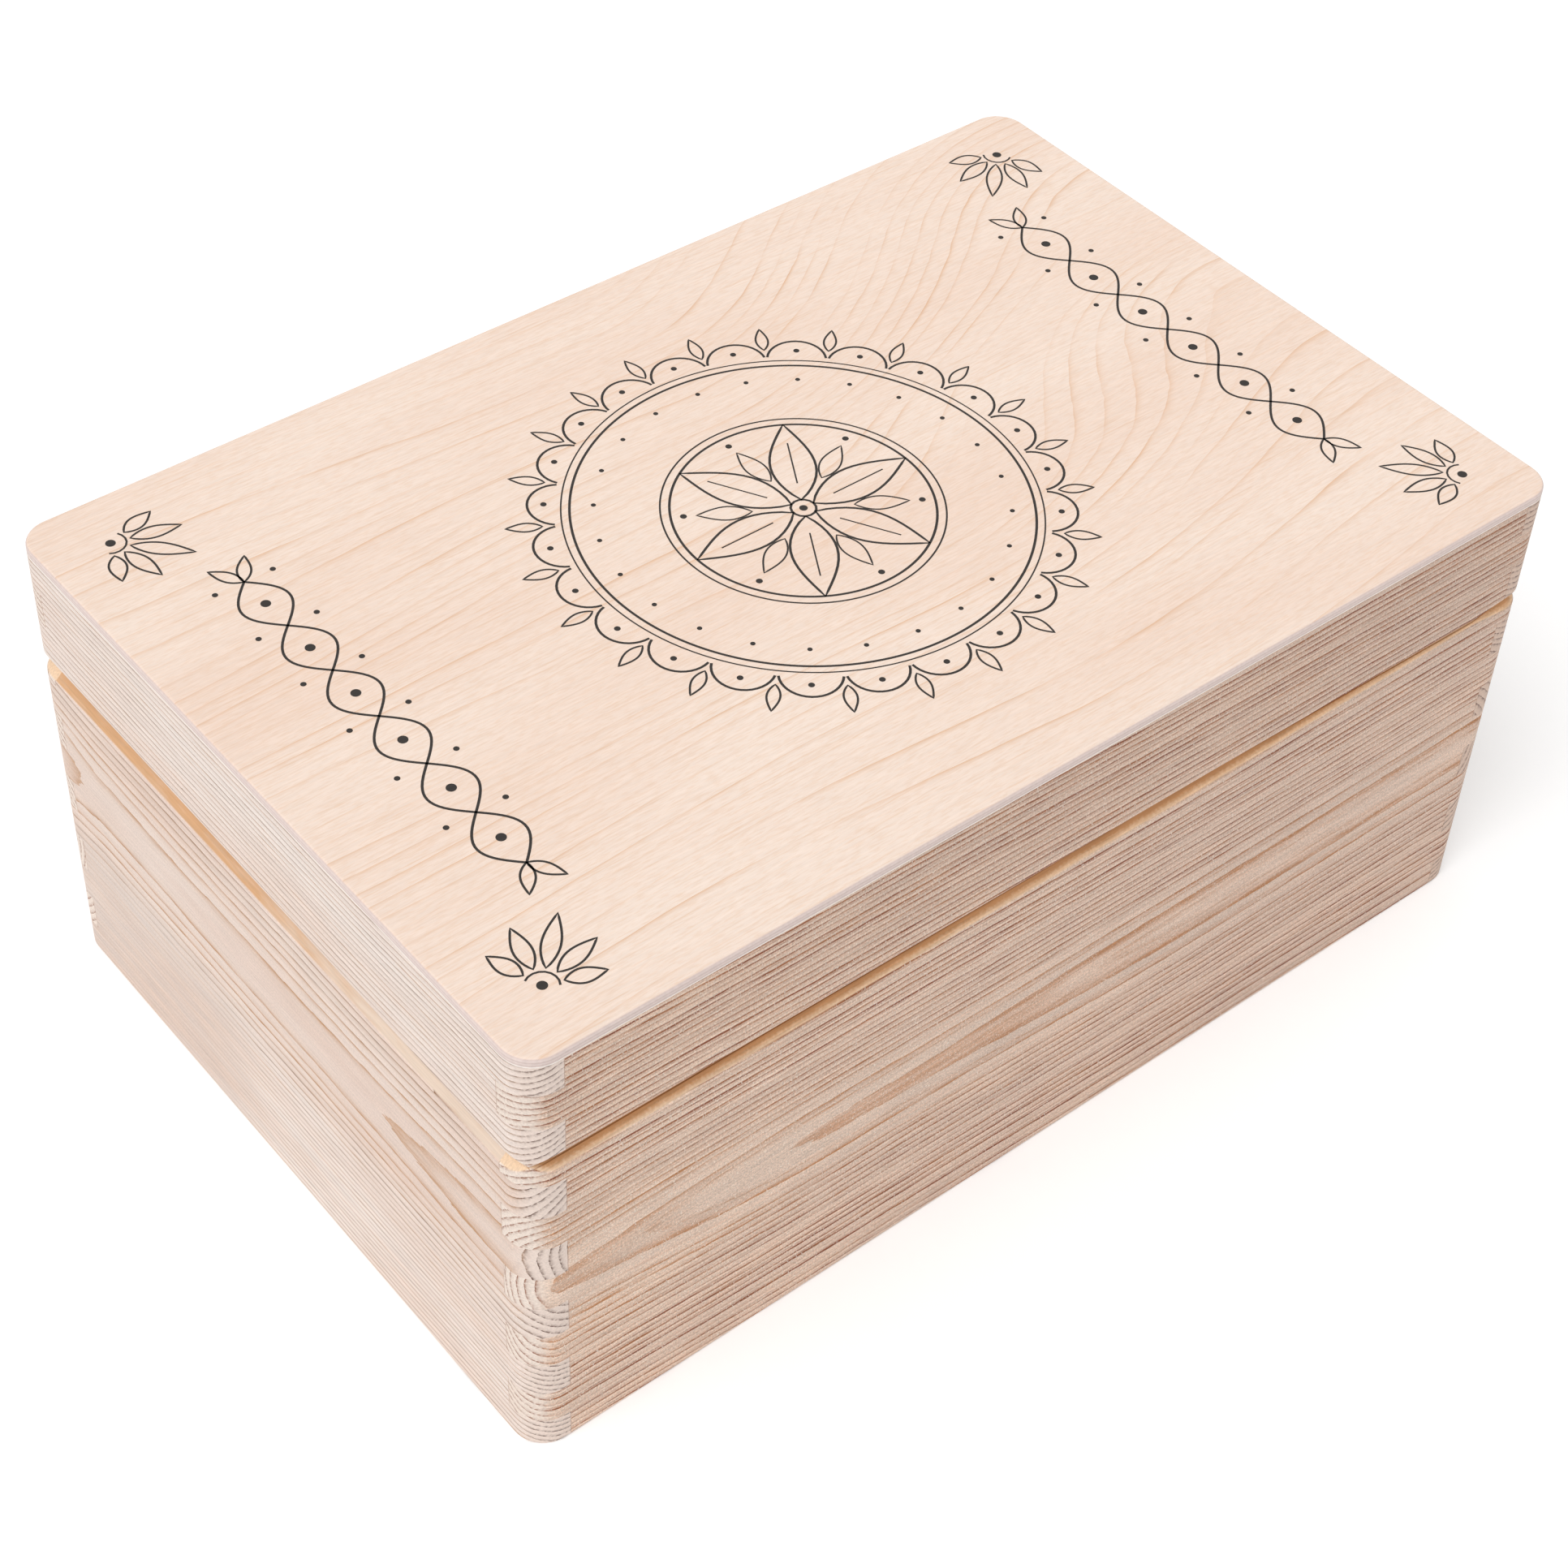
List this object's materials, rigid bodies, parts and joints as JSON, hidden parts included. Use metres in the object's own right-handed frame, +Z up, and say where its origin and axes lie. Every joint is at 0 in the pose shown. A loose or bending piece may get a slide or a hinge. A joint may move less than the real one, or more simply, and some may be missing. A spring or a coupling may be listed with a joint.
{
  "type": "keepsake box",
  "caption": "Rectangular finger-jointed wooden box with rounded corners, a V-grooved seam all round and a hinged lid with a plywood top panel, for keepsakes and papers.",
  "frame": {"origin": "middle of the resting plane, under the centre of the closed box", "axes": "+X along the long sides, to the right seen from the front; -Y is the front and +Y the hinge side; +Z up"},
  "size_m": [0.3, 0.198, 0.132],
  "materials": {
    "long_board_pine": "bare sanded pine, matte",
    "short_board_pine": "bare sanded pine, matte",
    "birch_plywood": "bare sanded birch plywood, matte",
    "hinge_steel": "zinc-plated, satin",
    "screw_steel": "zinc-plated, satin"
  },
  "bodies": {
    "base": {"front_board": "long_board_pine", "back_board": "long_board_pine", "left_board": "short_board_pine", "right_board": "short_board_pine", "bottom_panel": "birch_plywood", "left_hinge_base_leaf": "hinge_steel", "right_hinge_base_leaf": "hinge_steel", "left_hinge_pin": "hinge_steel", "right_hinge_pin": "hinge_steel", "base_hinge_screws": "screw_steel"},
    "lid": {"lid_front_rail": "long_board_pine", "lid_back_rail": "long_board_pine", "lid_left_rail": "short_board_pine", "lid_right_rail": "short_board_pine", "lid_panel": "birch_plywood", "left_hinge_lid_leaf": "hinge_steel", "right_hinge_lid_leaf": "hinge_steel", "lid_hinge_screws": "screw_steel"}
  },
  "joints": [
    {"name": "lid_hinge", "type": "hinge", "parent": "base", "child": "lid", "pos_m": [0, 0.097, 0.098], "axis": [-1, 0, 0], "range_deg": [0, 100]}
  ]
}
